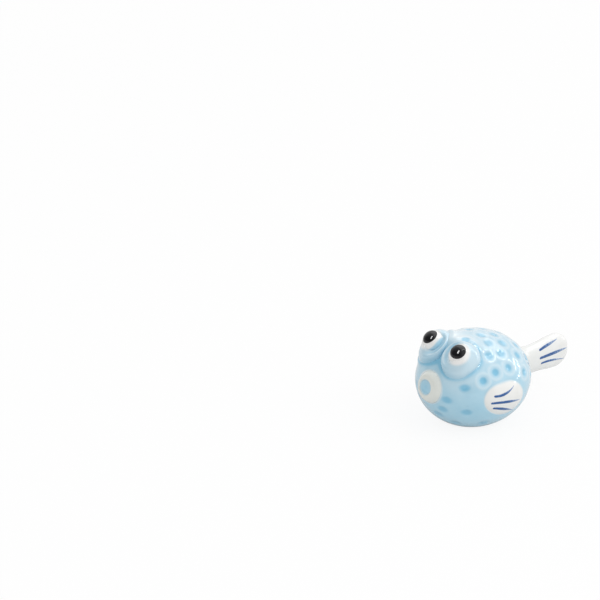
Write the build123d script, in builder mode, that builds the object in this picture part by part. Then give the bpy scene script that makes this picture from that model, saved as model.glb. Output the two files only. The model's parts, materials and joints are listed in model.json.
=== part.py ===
"""Chopstick rest: a hollow, glazed porcelain puffer fish.

Millimetres. The fish stands on its foot at z = 0 and faces -Y; its left side is +X.
The sticks lie across the tail, in the saddle behind the body.
"""

import os
from math import cos, radians, sin, sqrt

from build123d import *

# Body: an egg, a little longer than wide, cut flat underneath
BODY_WIDTH = 34.0
BODY_LENGTH = 37.4
BODY_HEIGHT = 29.7  # of the whole egg, before the foot is cut
FOOT_CUT = 1.75  # height of the slice taken off for the foot
WALL = 3.0
VENT_DIAMETER = 3.6  # firing vent through the foot into the hollow
VENT_SETBACK = 4.5  # from the foot's centre towards the tail

# Dimples: shallow round hollows, deeper on the back than on the belly
BACK_DIMPLE_WIDTH = 3.2
BACK_DIMPLE_DEPTH = 0.55
BELLY_DIMPLE_WIDTH = 3.0
BELLY_DIMPLE_DEPTH = 0.35

# Places on the body: degrees round from the back's ridge, degrees along from mouth to tail
BACK_DIMPLE_ANGLES = [
    (35, -9), (37, 5), (55, -11), (55, 5), (60, -26), (9.5, 16.5), (25, 15.5),
    (45, 25), (68, 25), (30, 36), (13, 46), (52, 44), (80, 44),
]
BELLY_DIMPLE_ANGLES = [
    (62, -45), (86, -67), (108, -43), (122, -67), (127, -23), (147, -45), (163, -59),
    (122, 14), (104, 38), (132, 46), (105, 58), (160, 57),
]
# Those along the ridge are scattered, and aren't repeated on the other side
RIDGE_DIMPLE_ANGLES = [(0, -13), (-24, 0), (-11, 1), (7.5, 1), (20.5, 0), (0, 32)]

# Eyes: a turret on the body, a ball in its socket and a black pupil on the ball
EYE_ROUND_ANGLE = 23.2
EYE_ALONG_ANGLE = -33.7
EYE_AXIS = Vector(0.19, -0.555, 0.81)  # outward, forward and up
EYEBALL_RADIUS = 3.4
EYEBALL_LIFT = 1.8  # clay left between the ball's seat and the body
PUPIL_RADIUS = 2.4
PUPIL_THICKNESS = 0.3
SOCKET_DEPTH = 1.0
SOCKET_FLARE = 0.4  # how far the socket's mouth opens round the ball
RIM_WIDTH = 0.6
TURRET_BASE_RADIUS = 6.0
TURRET_BULGE = 0.5  # how far the turret's side swells past a straight cone
TURRET_ROOT = 4.6  # how far the turret's blank runs below the ball's seat
EYE_GAP = 0.2  # between the two turrets where they meet on the ridge

# Mouth: a white ring with a dished blue disc in it
MOUTH_ANGLE = -80.7
LIP_OUTER_RADIUS = 4.9
LIP_CREST_RADIUS = 3.5
LIP_INNER_RADIUS = 2.5
LIP_HEIGHT = 1.15
LIP_INNER_HEIGHT = 0.8
LIP_ROOT = 1.4  # how far the lips' blank runs below the body's skin
MOUTH_DISH = 0.25

# Pectoral fins: low oval pads on the flanks
FIN_LENGTH = 15.5
FIN_HEIGHT = 11.4
FIN_TILT = 11.3  # rear end down
FIN_FORWARD = 0.65  # from the egg's middle towards the mouth
FIN_RELIEF = 0.6  # crown above the body's skin
FIN_ROOT = 5.0  # depth of the pad's blank inside the body

# Tail: a thick paddle on a short flared neck
TAIL_REACH = 21.0  # from the egg's back end
TAIL_HEIGHT = 11.4
TAIL_ROUNDING = 5.3  # length of the paddle's rounded end
TAIL_DROP = 1.1  # the tail's middle line below the egg's
TAIL_THICKNESS = 5.2
TIP_THICKNESS = 4.4
NECK_REACH = 4.9
NECK_HEIGHT = 9.2
ROOT_HEIGHT = 15.5
ROOT_THICKNESS = 10.0
ROOT_DEPTH = 5.7  # how far the root's blank runs inside the egg
ROOT_SLOPE = 0.6  # fall of the root's outline towards the neck
EDGE_SHARE = 0.44  # edge rounding, as a share of the tip's thickness

# Brush strokes: thin raised enamel, a blunt start drawn out to a fine tip
STROKE_THICKNESS = 0.15
STROKE_WIDTH = 0.95
STROKE_MIDDLE_SHARE = 0.8  # width half way along, as a share of the full width

# Start, middle and tip of each stroke, as shares of the fin's half length and half height
FIN_STROKE_SHARES = {
    "upper": [(-0.73, 0.36), (-0.25, 0.37), (0.26, 0.62)],
    "middle": [(-0.85, -0.04), (-0.25, -0.11), (0.55, -0.35)],
    "lower": [(-0.74, -0.37), (-0.24, -0.57), (0.36, -0.96)],
}
# The same on the tail, from the neck to the end and from the middle line to the edge
TAIL_STROKE_SHARES = {
    "upper": [(0.16, 0.58), (0.36, 0.68), (0.655, 0.83)],
    "middle": [(0.16, 0.11), (0.48, 0.10), (0.87, 0.12)],
    "lower": [(0.21, -0.26), (0.46, -0.30), (0.79, -0.51)],
}

HALF_WIDTH = BODY_WIDTH / 2
HALF_LENGTH = BODY_LENGTH / 2
HALF_HEIGHT = BODY_HEIGHT / 2
MIDDLE_HEIGHT = HALF_HEIGHT - FOOT_CUT


def egg(grow=0.0):
    """The body's egg with its skin moved out by grow, made of two mirrored halves."""
    with BuildPart() as blank:
        with BuildSketch(Plane.YZ.shift_origin((0, 0, MIDDLE_HEIGHT))):
            Circle(HALF_WIDTH + grow)
            Rectangle(2 * BODY_WIDTH, BODY_WIDTH, align=(Align.CENTER, Align.MIN), mode=Mode.SUBTRACT)
        revolve(axis=Axis((0, 0, MIDDLE_HEIGHT), (0, 1, 0)), revolution_arc=-180)
        stretch = (HALF_LENGTH + grow) / (HALF_WIDTH + grow)
        flatten = (HALF_HEIGHT + grow) / (HALF_WIDTH + grow)
        scale(by=(1, stretch, flatten), about=(0, 0, MIDDLE_HEIGHT))
        mirror(about=Plane.YZ)
    return blank.part


def skin_point(around, along):
    """Point on the egg, by degrees round from the ridge and along from the mouth to the tail."""
    turn = radians(around)
    run = radians(along)
    x = HALF_WIDTH * cos(run) * sin(turn)
    y = HALF_LENGTH * sin(run)
    z = HALF_HEIGHT * cos(run) * cos(turn)
    return Vector(x, y, MIDDLE_HEIGHT + z)


def skin_normal(point):
    """Outward direction of the egg's skin at a point on it."""
    lift = point.Z - MIDDLE_HEIGHT
    return Vector(point.X / HALF_WIDTH**2, point.Y / HALF_LENGTH**2, lift / HALF_HEIGHT**2).normalized()


def profile_plane(origin, axis):
    """Plane through an axis: its x runs out from the axis and its y along it."""
    radial = Vector(0, 0, 1).cross(axis).normalized()
    return Plane(origin=origin, x_dir=radial, z_dir=radial.cross(axis))


def dimple_radius(width, depth):
    """Radius of the ball that leaves a dimple of this width and depth."""
    return (width**2 / 4 + depth**2) / (2 * depth)


def dimple_places(paired, single, width, depth):
    """Centres of the balls that cut a set of dimples, some on both sides and some alone."""
    lift = dimple_radius(width, depth) - depth
    places = paired + [(-around, along) for around, along in paired] + single
    points = [skin_point(around, along) for around, along in places]
    return [point + skin_normal(point) * lift for point in points]


def keep(piece, name):
    """Label a finished piece and write it."""
    piece.part.label = name
    export_step(piece.part, f"parts/{name}.step")


def keep_pair(left, name):
    """Write a left-hand piece and its mirror image on the right."""
    keep(left, f"left_{name}")
    with BuildPart() as right:
        mirror(left.part, about=Plane.YZ)
    keep(right, f"right_{name}")


os.makedirs("parts", exist_ok=True)
body_egg = egg()

# Body shell: the hollow egg, its foot, vent and dimples
with BuildPart() as hollow:
    add(egg(-WALL))
    with Locations((0, 0, WALL)):
        Box(
            BODY_WIDTH, BODY_LENGTH, BODY_HEIGHT,
            align=(Align.CENTER, Align.CENTER, Align.MAX), mode=Mode.SUBTRACT,
        )

back_places = dimple_places(
    BACK_DIMPLE_ANGLES, RIDGE_DIMPLE_ANGLES, BACK_DIMPLE_WIDTH, BACK_DIMPLE_DEPTH
)
belly_places = dimple_places(BELLY_DIMPLE_ANGLES, [], BELLY_DIMPLE_WIDTH, BELLY_DIMPLE_DEPTH)
with BuildPart() as body_shell:
    add(body_egg)
    with Locations(*back_places):
        Sphere(dimple_radius(BACK_DIMPLE_WIDTH, BACK_DIMPLE_DEPTH), mode=Mode.SUBTRACT)
    with Locations(*belly_places):
        Sphere(dimple_radius(BELLY_DIMPLE_WIDTH, BELLY_DIMPLE_DEPTH), mode=Mode.SUBTRACT)
    split(bisect_by=Plane.XY, keep=Keep.TOP)
    add(hollow.part, mode=Mode.SUBTRACT)
    with Locations((0, VENT_SETBACK, WALL / 2)):
        Cylinder(VENT_DIAMETER / 2, 2 * WALL, mode=Mode.SUBTRACT)
keep(body_shell, "body_shell")

# Eyes, in a profile plane whose origin is the middle of the ball's flat seat
eye_axis = EYE_AXIS.normalized()
eye_seat = skin_point(EYE_ROUND_ANGLE, EYE_ALONG_ANGLE) + eye_axis * EYEBALL_LIFT
eye_plane = profile_plane(eye_seat, eye_axis)
eye_turn = Axis(eye_seat, eye_axis)
socket_mouth = EYEBALL_RADIUS + SOCKET_FLARE
rim_edge = socket_mouth + RIM_WIDTH
side_middle = ((rim_edge + TURRET_BASE_RADIUS) / 2 + TURRET_BULGE, (SOCKET_DEPTH - TURRET_ROOT) / 2)

with BuildPart() as eye_turret:
    with BuildSketch(eye_plane):
        with BuildLine():
            Line((0, -TURRET_ROOT), (0, 0))
            Line((0, 0), (EYEBALL_RADIUS, 0))
            Line((EYEBALL_RADIUS, 0), (socket_mouth, SOCKET_DEPTH))
            Line((socket_mouth, SOCKET_DEPTH), (rim_edge, SOCKET_DEPTH))
            ThreePointArc((rim_edge, SOCKET_DEPTH), side_middle, (TURRET_BASE_RADIUS, -TURRET_ROOT))
            Line((TURRET_BASE_RADIUS, -TURRET_ROOT), (0, -TURRET_ROOT))
        make_face()
    revolve(axis=eye_turn)
    add(body_egg, mode=Mode.SUBTRACT)
    split(bisect_by=Plane.YZ.offset(EYE_GAP / 2), keep=Keep.TOP)
keep_pair(eye_turret, "eye_turret")

with BuildPart() as eyeball:
    with BuildSketch(eye_plane):
        Circle(EYEBALL_RADIUS)
        Rectangle(
            EYEBALL_RADIUS, EYEBALL_RADIUS, align=(Align.MIN, Align.MIN), mode=Mode.INTERSECT
        )
    revolve(axis=eye_turn)
keep_pair(eyeball, "eyeball")

with BuildPart() as pupil:
    with BuildSketch(eye_plane):
        Circle(EYEBALL_RADIUS + PUPIL_THICKNESS)
        Circle(EYEBALL_RADIUS, mode=Mode.SUBTRACT)
        Rectangle(
            PUPIL_RADIUS, 2 * EYEBALL_RADIUS, align=(Align.MIN, Align.MIN), mode=Mode.INTERSECT
        )
    revolve(axis=eye_turn)
keep_pair(pupil, "pupil")

# Mouth, in a profile plane on the body's skin
mouth_point = skin_point(0, MOUTH_ANGLE)
mouth_axis = skin_normal(mouth_point)
mouth_plane = profile_plane(mouth_point, mouth_axis)
mouth_turn = Axis(mouth_point, mouth_axis)
lip_crest = (LIP_CREST_RADIUS, LIP_HEIGHT)
lip_shoulder = ((LIP_CREST_RADIUS + 2 * LIP_OUTER_RADIUS) / 3, LIP_HEIGHT / 3)

with BuildPart() as mouth_lips:
    with BuildSketch(mouth_plane):
        with BuildLine():
            Line((LIP_INNER_RADIUS, -LIP_ROOT), (LIP_INNER_RADIUS, LIP_INNER_HEIGHT))
            Spline(
                (LIP_INNER_RADIUS, LIP_INNER_HEIGHT),
                lip_crest,
                lip_shoulder,
                (LIP_OUTER_RADIUS, -LIP_ROOT),
            )
            Line((LIP_OUTER_RADIUS, -LIP_ROOT), (LIP_INNER_RADIUS, -LIP_ROOT))
        make_face()
    revolve(axis=mouth_turn)
    add(body_egg, mode=Mode.SUBTRACT)
keep(mouth_lips, "mouth_lips")

with BuildPart() as mouth_centre:
    with BuildSketch(mouth_plane):
        with BuildLine():
            Line((0, -LIP_ROOT), (0, LIP_INNER_HEIGHT - MOUTH_DISH))
            dish_middle = (LIP_INNER_RADIUS / 2, LIP_INNER_HEIGHT - MOUTH_DISH * 3 / 4)
            ThreePointArc(
                (0, LIP_INNER_HEIGHT - MOUTH_DISH), dish_middle, (LIP_INNER_RADIUS, LIP_INNER_HEIGHT)
            )
            Line((LIP_INNER_RADIUS, LIP_INNER_HEIGHT), (LIP_INNER_RADIUS, -LIP_ROOT))
            Line((LIP_INNER_RADIUS, -LIP_ROOT), (0, -LIP_ROOT))
        make_face()
    revolve(axis=mouth_turn)
    add(body_egg, mode=Mode.SUBTRACT)
keep(mouth_centre, "mouth_centre")


# Pectoral fins: an oval dome whose edge runs out on the body's skin
def fin_dome(grow=0.0):
    """The left fin's dome with its surface moved out by grow."""
    base = HALF_WIDTH - FIN_ROOT
    crown = FIN_ROOT + FIN_RELIEF
    spans = []
    for half, turn in ((FIN_LENGTH / 2, FIN_TILT), (FIN_HEIGHT / 2, 90 - FIN_TILT)):
        along = half * cos(radians(turn)) / HALF_LENGTH
        up = half * sin(radians(turn)) / HALF_HEIGHT
        edge = HALF_WIDTH * sqrt(1 - along**2 - up**2) - base
        spans.append(half / sqrt(1 - (edge / crown) ** 2))
    with BuildPart() as blank:
        Sphere(1)
        scale(by=(crown + grow, spans[0] + grow, spans[1] + grow), about=(0, 0, 0))
    return Pos(base, -FIN_FORWARD, MIDDLE_HEIGHT) * Rot(-FIN_TILT, 0, 0) * blank.part


def stroke_blank(plane, marks, reach):
    """Prism of one brush stroke on a plane, from its start, middle and tip."""
    start, middle, tip = marks
    start_half = STROKE_WIDTH / 2
    middle_half = start_half * STROKE_MIDDLE_SHARE
    with BuildPart() as blank:
        with BuildSketch(plane):
            with BuildLine():
                ThreePointArc(
                    (start[0], start[1] + start_half), (middle[0], middle[1] + middle_half), tip
                )
                ThreePointArc(
                    tip, (middle[0], middle[1] - middle_half), (start[0], start[1] - start_half)
                )
                ThreePointArc(
                    (start[0], start[1] - start_half),
                    (start[0] - start_half, start[1]),
                    (start[0], start[1] + start_half),
                )
            make_face()
        extrude(amount=reach)
    return blank.part


fin_pad = fin_dome()
fin_skin = fin_dome(STROKE_THICKNESS)

with BuildPart() as pectoral_fin:
    add(fin_pad)
    add(body_egg, mode=Mode.SUBTRACT)
keep_pair(pectoral_fin, "pectoral_fin")

fin_plane = Plane.YZ.shift_origin((0, -FIN_FORWARD, MIDDLE_HEIGHT))
for place, marks in FIN_STROKE_SHARES.items():
    scaled = [(along * FIN_LENGTH / 2, up * FIN_HEIGHT / 2) for along, up in marks]
    with BuildPart() as fin_stroke:
        add(stroke_blank(fin_plane, scaled, BODY_WIDTH))
        add(fin_skin, mode=Mode.INTERSECT)
        add(fin_pad, mode=Mode.SUBTRACT)
        add(body_egg, mode=Mode.SUBTRACT)
    keep_pair(fin_stroke, f"fin_stroke_{place}")

# Tail: a side outline and a plan outline, cut from one block and rounded at the edges
tail_height = MIDDLE_HEIGHT - TAIL_DROP
tail_side = Plane.YZ.shift_origin((0, HALF_LENGTH, tail_height))
tail_plan = Plane.XY.offset(tail_height).shift_origin((0, HALF_LENGTH, tail_height))
paddle_reach = TAIL_REACH - TAIL_ROUNDING
plan_end = TAIL_REACH + TIP_THICKNESS  # past the paddle's end, which the side outline cuts


def tail_blank(grow=0.0):
    """The tail with its sides moved out by grow, its root run on inside the egg."""
    with BuildPart() as blank:
        with BuildSketch(tail_side):
            with BuildLine():
                upper = Spline(
                    (-ROOT_DEPTH, ROOT_HEIGHT / 2),
                    (NECK_REACH, NECK_HEIGHT / 2),
                    (paddle_reach, TAIL_HEIGHT / 2),
                    tangents=((1, -ROOT_SLOPE), (1, 0)),
                )
                EllipticalCenterArc(
                    (paddle_reach, 0), TAIL_ROUNDING, TAIL_HEIGHT / 2, start_angle=-90, arc_size=180
                )
                mirror(upper, about=Plane.XZ)
                Line((-ROOT_DEPTH, ROOT_HEIGHT / 2), (-ROOT_DEPTH, -ROOT_HEIGHT / 2))
            make_face()
        extrude(amount=ROOT_THICKNESS, both=True)
        with BuildSketch(tail_plan):
            with BuildLine():
                flank = Bezier(
                    (ROOT_THICKNESS / 2 + grow, -ROOT_DEPTH),
                    (TAIL_THICKNESS / 2 + grow, 0),
                    (TAIL_THICKNESS / 2 + grow, NECK_REACH),
                    (TIP_THICKNESS / 2 + grow, plan_end),
                )
                mirror(flank, about=Plane.YZ)
                Line(flank @ 0, (-ROOT_THICKNESS / 2 - grow, -ROOT_DEPTH))
                Line(flank @ 1, (-TIP_THICKNESS / 2 - grow, plan_end))
            make_face()
        extrude(amount=ROOT_HEIGHT, both=True, mode=Mode.INTERSECT)
        rounded = blank.edges().filter_by(lambda edge: edge.center().Y > HALF_LENGTH - ROOT_DEPTH / 2)
        fillet(rounded, EDGE_SHARE * TIP_THICKNESS)
    return blank.part


tail_body = tail_blank()
tail_skin = tail_blank(STROKE_THICKNESS)

with BuildPart() as tail_fin:
    add(tail_body)
    add(body_egg, mode=Mode.SUBTRACT)
keep(tail_fin, "tail_fin")

for place, marks in TAIL_STROKE_SHARES.items():
    scaled = [
        (NECK_REACH + along * (TAIL_REACH - NECK_REACH), up * TAIL_HEIGHT / 2) for along, up in marks
    ]
    with BuildPart() as tail_stroke:
        add(stroke_blank(tail_side, scaled, ROOT_THICKNESS))
        add(tail_skin, mode=Mode.INTERSECT)
        add(tail_body, mode=Mode.SUBTRACT)
    keep_pair(tail_stroke, f"tail_stroke_{place}")
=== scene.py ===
# %% [markdown]
# # A porcelain rest in the form of a puffer fish
# The real object is a small slip-cast fish. The caster joins clay eyes, a mouth, fins and a tail to a
# hollow egg, dips the whole in a pale blue glaze and paints the strokes and pupils on top. The CAD model
# gives every piece its size and place. This lesson gives every piece its soft, glazed surface, in the same
# frame and in metres.

# %% Load the frame
import json
from math import cos, pi, radians, sin, sqrt

import bpy
import numpy as np
from mathutils import Matrix, Vector

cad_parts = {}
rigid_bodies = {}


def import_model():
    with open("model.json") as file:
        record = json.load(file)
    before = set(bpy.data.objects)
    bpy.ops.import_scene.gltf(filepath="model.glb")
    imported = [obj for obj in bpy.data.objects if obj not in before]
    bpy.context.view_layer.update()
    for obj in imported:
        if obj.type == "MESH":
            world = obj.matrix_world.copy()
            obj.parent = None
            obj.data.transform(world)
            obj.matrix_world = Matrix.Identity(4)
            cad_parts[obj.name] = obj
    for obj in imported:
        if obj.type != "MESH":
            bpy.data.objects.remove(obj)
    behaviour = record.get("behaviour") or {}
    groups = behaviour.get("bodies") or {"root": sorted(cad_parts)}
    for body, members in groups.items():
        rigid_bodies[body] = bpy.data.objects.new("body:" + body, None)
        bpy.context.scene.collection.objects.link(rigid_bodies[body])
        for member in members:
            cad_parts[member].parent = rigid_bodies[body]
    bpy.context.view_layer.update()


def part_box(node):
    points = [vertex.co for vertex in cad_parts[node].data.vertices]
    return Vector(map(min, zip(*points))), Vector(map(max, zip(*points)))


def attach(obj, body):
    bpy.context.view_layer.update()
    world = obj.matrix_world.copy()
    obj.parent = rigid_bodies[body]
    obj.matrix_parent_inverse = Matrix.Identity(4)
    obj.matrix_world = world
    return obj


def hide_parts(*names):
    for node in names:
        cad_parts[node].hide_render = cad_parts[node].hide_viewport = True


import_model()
MM = 0.001

# %% [markdown]
# ## Small tools
# An operator acts on whatever is selected, so a helper first clears the selection. Other helpers read and
# write a mesh's points as one array, because a glazed form is easier to write as a formula than to push by
# hand, and store a value on each point that a material can read later.

# %% Selection and points
def select_none():
    """Leave edit mode and clear the selection, so that the next operator starts afresh."""
    if bpy.context.mode != "OBJECT":
        bpy.ops.object.mode_set(mode="OBJECT")
    bpy.ops.object.select_all(action="DESELECT")


def activate(piece):
    """Select one piece alone and make it the active one."""
    select_none()
    piece.select_set(True)
    bpy.context.view_layer.objects.active = piece


def start_from(name, add, location=(0, 0, 0), **measures):
    """Add a primitive with its operator, as the start of a piece, and name it."""
    select_none()
    add(location=location, **measures)
    piece = bpy.context.object
    piece.name = name
    return piece


def points_of(piece):
    """All of a mesh's points as an array of rows."""
    flat = np.empty(len(piece.data.vertices) * 3)
    piece.data.vertices.foreach_get("co", flat)
    return flat.reshape(-1, 3)


def move_points(piece, points):
    """Put a mesh's points at new places."""
    piece.data.vertices.foreach_set("co", np.asarray(points, float).ravel())
    piece.data.update()


def paint(piece, **shares):
    """Store named shares from 0 to 1 on each point, for a material to read."""
    for name, values in shares.items():
        layer = piece.data.attributes.get(name)
        if layer is None:
            layer = piece.data.attributes.new(name, "FLOAT", "POINT")
        layer.data.foreach_set("value", np.clip(values, 0, 1).astype(np.float32))


# %% [markdown]
# Clay and glaze have no hard edges. Four small formulas give every ramp, hill, rounded corner and drawn
# curve below, so the same softness runs through the whole fish.

# %% Soft curves
def smooth_step(values, low, high):
    """A soft ramp from 0 at low to 1 at high."""
    share = np.clip((values - low) / (high - low), 0, 1)
    return share * share * (3 - 2 * share)


def bump(values, width):
    """A soft hill: 1 at zero, and almost nothing two widths away."""
    return np.exp(-((values / width) ** 2))


def soft_max(values, floor, reach):
    """The larger of values and floor, with the corner between them rounded over reach."""
    share = np.clip(0.5 + 0.5 * (values - floor) / reach, 0, 1)
    return floor + (values - floor) * share + reach * share * (1 - share)


def through(marks, count):
    """Points on a smooth curve through given marks, evenly spaced between them."""
    marks = np.asarray(marks, float)
    padded = np.vstack([2 * marks[0] - marks[1], marks, 2 * marks[-1] - marks[-2]])
    place = np.linspace(0, len(marks) - 1, count)
    first = np.minimum(place.astype(int), len(marks) - 2)
    t = (place - first)[:, None]
    a, b, c, d = (padded[first + k] for k in range(4))
    bend = 2 * a - 5 * b + 4 * c - d
    twist = 3 * b - a - 3 * c + d
    return 0.5 * (2 * b + (c - a) * t + bend * t**2 + twist * t**3)


# %% [markdown]
# Eyes and mouth are round, as if turned on a wheel, so one helper is a lathe: it spins a drawn line about
# an axis. The right half of the fish mirrors the left, and a last helper lets a finished piece stand for
# its CAD node.

# %% Lathe, mirror and dress
TINY = 1e-7


def lathe_line(marks, count):
    """A line of (radius, height) in metres through marks in mm, kept on one side of the axis."""
    line = through(marks, count) * MM
    line[:, 0] = np.maximum(line[:, 0], 0)
    return line


def lathe(name, line, steps):
    """Turn a line of (radius, height) points round Z with the Spin operator."""
    mesh = bpy.data.meshes.new(name)
    piece = bpy.data.objects.new(name, mesh)
    bpy.context.scene.collection.objects.link(piece)
    mesh.from_pydata([(r, 0, h) for r, h in line], [(k, k + 1) for k in range(len(line) - 1)], [])
    paint(piece, station=np.linspace(0, 1, len(line)))
    activate(piece)
    bpy.ops.object.mode_set(mode="EDIT")
    bpy.ops.mesh.select_all(action="SELECT")
    bpy.ops.mesh.spin(steps=steps, angle=2 * pi, center=(0, 0, 0), axis=(0, 0, 1))
    bpy.ops.mesh.select_all(action="SELECT")
    bpy.ops.mesh.remove_doubles(threshold=TINY)
    bpy.ops.mesh.normals_make_consistent(inside=False)
    bpy.ops.object.mode_set(mode="OBJECT")
    return piece


def stations_of(piece):
    """Where each point of a lathed piece lies along its line, from 0 to 1."""
    values = np.empty(len(piece.data.vertices), np.float32)
    piece.data.attributes["station"].data.foreach_get("value", values)
    return values.astype(float)


def mirrored(piece, name):
    """A copy of a left-hand piece for the right-hand side, with its own mesh and its faces outwards."""
    copy = bpy.data.objects.new(name, piece.data.copy())
    bpy.context.scene.collection.objects.link(copy)
    copy.data.transform(Matrix.Scale(-1, 4, (1, 0, 0)))
    copy.data.flip_normals()
    return copy


def dress(piece, node, slot, sharp=180):
    """Let a finished piece stand for its CAD node, with the finish of its slot and its shading."""
    activate(piece)
    bpy.ops.object.shade_smooth_by_angle(angle=radians(sharp))
    piece.data.materials.clear()
    piece.data.materials.append(finishes[slot])
    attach(piece, "root")
    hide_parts(node)
    print(piece.name, "has", len(piece.data.polygons), "faces and stands for", node)


# %% [markdown]
# ## The egg
# Everything sits on one egg, so its half sizes come first, from the CAD body's own box. The helpers below
# give a place on the egg by two angles, the direction of its skin, and how high a point stands above that
# skin.

# %% The egg's measures
FOOT_CUT = 1.75 * MM
body_low, body_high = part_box("body_shell")
HALF = np.array([
    (body_high.x - body_low.x) / 2,
    (body_high.y - body_low.y) / 2,
    (body_high.z + FOOT_CUT) / 2,
])
CENTRE = np.array([0, 0, HALF[2] - FOOT_CUT])


def skin_point(around, along):
    """Place on the egg, by degrees round from the ridge and along from the mouth to the tail."""
    turn, run = radians(around), radians(along)
    return CENTRE + HALF * np.array([cos(run) * sin(turn), sin(run), cos(run) * cos(turn)])


def level(points):
    """Under 1 inside the egg, 1 on its skin, more outside."""
    return np.linalg.norm((points - CENTRE) / HALF, axis=-1)


def skin_normal(points):
    """Outward direction of the egg's skin below each point."""
    slope = (points - CENTRE) / HALF**2
    return slope / np.linalg.norm(slope, axis=-1, keepdims=True)


def skin_height(points):
    """Height of each point above the egg's skin."""
    reach = level(points)
    slope = np.linalg.norm((points - CENTRE) / HALF**2, axis=-1)
    return (reach - 1) * reach / slope


def seat(points, depth):
    """Bring points that lie deeper than depth under the skin up to that depth."""
    floor = 1 - depth / HALF.mean()
    reach = level(points)
    lifted = CENTRE + (points - CENTRE) * (floor / reach)[:, None]
    return np.where((reach < floor)[:, None], lifted, points)


print("Egg half sizes in mm:", np.round(HALF / MM, 2), "centre height", round(CENTRE[2] / MM, 2))

# %% [markdown]
# ## Camera
# The rest stands right of the middle in a wide white frame and is seen from its left front, a little from
# above. The camera is a long lens, placed so that the egg's centre falls on its own pixel of the 600 pixel
# frame.

# %% Camera
FRAME_PIXELS = 600
SENSOR = 36.0
FOCAL_PIXELS = 2127.1
BODY_PIXEL = (473.2, 377.06)
VIEW_AZIMUTH = radians(52.21)
VIEW_ELEVATION = radians(25.24)
VIEW_DISTANCE = 661.1 * MM
CLIP_START = 0.01

view_back = Vector((
    sin(VIEW_AZIMUTH) * cos(VIEW_ELEVATION),
    -cos(VIEW_AZIMUTH) * cos(VIEW_ELEVATION),
    sin(VIEW_ELEVATION),
))
view_right = Vector((cos(VIEW_AZIMUTH), sin(VIEW_AZIMUTH), 0))
view_up = view_back.cross(view_right)
pixel = VIEW_DISTANCE / FOCAL_PIXELS
eye_place = (
    Vector(CENTRE)
    + view_back * VIEW_DISTANCE
    - view_right * (BODY_PIXEL[0] - FRAME_PIXELS / 2) * pixel
    + view_up * (BODY_PIXEL[1] - FRAME_PIXELS / 2) * pixel
)
camera_data = bpy.data.cameras.new("camera")
camera_data.sensor_width = SENSOR
camera_data.lens = FOCAL_PIXELS * SENSOR / FRAME_PIXELS
camera_data.clip_start = CLIP_START
camera = bpy.data.objects.new("camera", camera_data)
camera.matrix_world = Matrix((view_right, view_up, view_back)).transposed().to_4x4()
camera.location = eye_place
scene = bpy.context.scene
scene.collection.objects.link(camera)
scene.camera = camera
print("Camera at", [round(value, 3) for value in eye_place], "with a lens of", round(camera_data.lens), "mm")

# %% [markdown]
# ## Lamps
# The fish stands in a light tent. A weak panel lights its left flank. A second panel hangs above and behind
# and shows in the gloss only. Three thin strips stand for that panel's bright edge, and draw the thin white
# lines in the glaze. One more lamp gives the pupils their glint, and light linking keeps it off the other
# pieces.

# %% Lamps
scene.view_settings.view_transform = "Standard"
FACE = Vector((0, -0.012, 0.025))
FLANK = Vector((0, 0, 0.012))
SIDE_PLACE = (0.8, 0.5, 0.8)
SIDE_SIZE = (1.0, 1.0)
PANEL_HEIGHT = 0.62
PANEL_EDGE = 0.38 * PANEL_HEIGHT
PANEL_SIZE = (0.84, 0.8)
PANEL_CENTRE = (PANEL_EDGE - PANEL_SIZE[0] / 2, 0.46, PANEL_HEIGHT)
EDGE_WIDTH = 0.022
EDGE_RADIANCE = 11
EDGE_CORNERS = [
    (PANEL_EDGE, 0.02, PANEL_HEIGHT),
    (PANEL_EDGE, 0.82, PANEL_HEIGHT),
    (0.22, 0.86, 0.26),
    (0.535, 0.86, 0.01),
]
GLINT_PLACE = (0.13, -0.37, 0.60)
GLINT_SIZE = (0.15, 0.42)


def panel(name, centre, aim, size, radiance, lights=True, mirrors=True):
    """A rectangular lamp of the given radiance that looks from its centre at a point."""
    lamp = bpy.data.lights.new(name, "AREA")
    lamp.shape = "RECTANGLE"
    lamp.size, lamp.size_y = size
    lamp.energy = radiance * pi * size[0] * size[1]
    holder = bpy.data.objects.new(name, lamp)
    holder.location = centre
    holder.rotation_euler = (Vector(aim) - Vector(centre)).to_track_quat("-Z", "Y").to_euler()
    holder.visible_diffuse = lights
    holder.visible_glossy = mirrors
    scene.collection.objects.link(holder)
    return holder


def bright_edge(name, start, end):
    """A thin bright strip between two points that faces the fish and shows in the gloss alone."""
    start, end = Vector(start), Vector(end)
    middle = (start + end) / 2
    strip = panel(name, middle, FACE, (EDGE_WIDTH, (end - start).length), EDGE_RADIANCE, lights=False)
    along = (end - start).normalized()
    across = along.cross(middle - FACE).normalized()
    strip.rotation_euler = Matrix((across, along, across.cross(along))).transposed().to_euler()


panel("side_panel", SIDE_PLACE, FLANK, SIDE_SIZE, radiance=1.25, mirrors=False)
panel("top_panel", PANEL_CENTRE, (*PANEL_CENTRE[:2], 0), PANEL_SIZE, radiance=1.0, lights=False)
for name, start, end in zip(("edge_above", "edge_behind", "edge_low"), EDGE_CORNERS, EDGE_CORNERS[1:]):
    bright_edge(name, start, end)
eye_light = panel("eye_light", GLINT_PLACE, FACE, GLINT_SIZE, radiance=24, lights=False)
pupils = bpy.data.collections.new("pupils")
eye_light.light_linking.receiver_collection = pupils
print("Lamps:", [lamp.name for lamp in bpy.data.lights])

# %% [markdown]
# ## Room
# The tent lights the fish evenly, a little more from overhead. In the gloss it shows as it is: open and dim
# in front, bright behind. A Light Path node tells the two kinds of ray apart, which saves building the
# tent's walls.

# %% Room
ROOM_SIDE = 0.68
ROOM_TOP = 0.95
TENT_OPENING = 0.2
TENT_WALL = 1.0
TENT_FRONT = -0.6
TENT_BACK = 0.1


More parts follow.
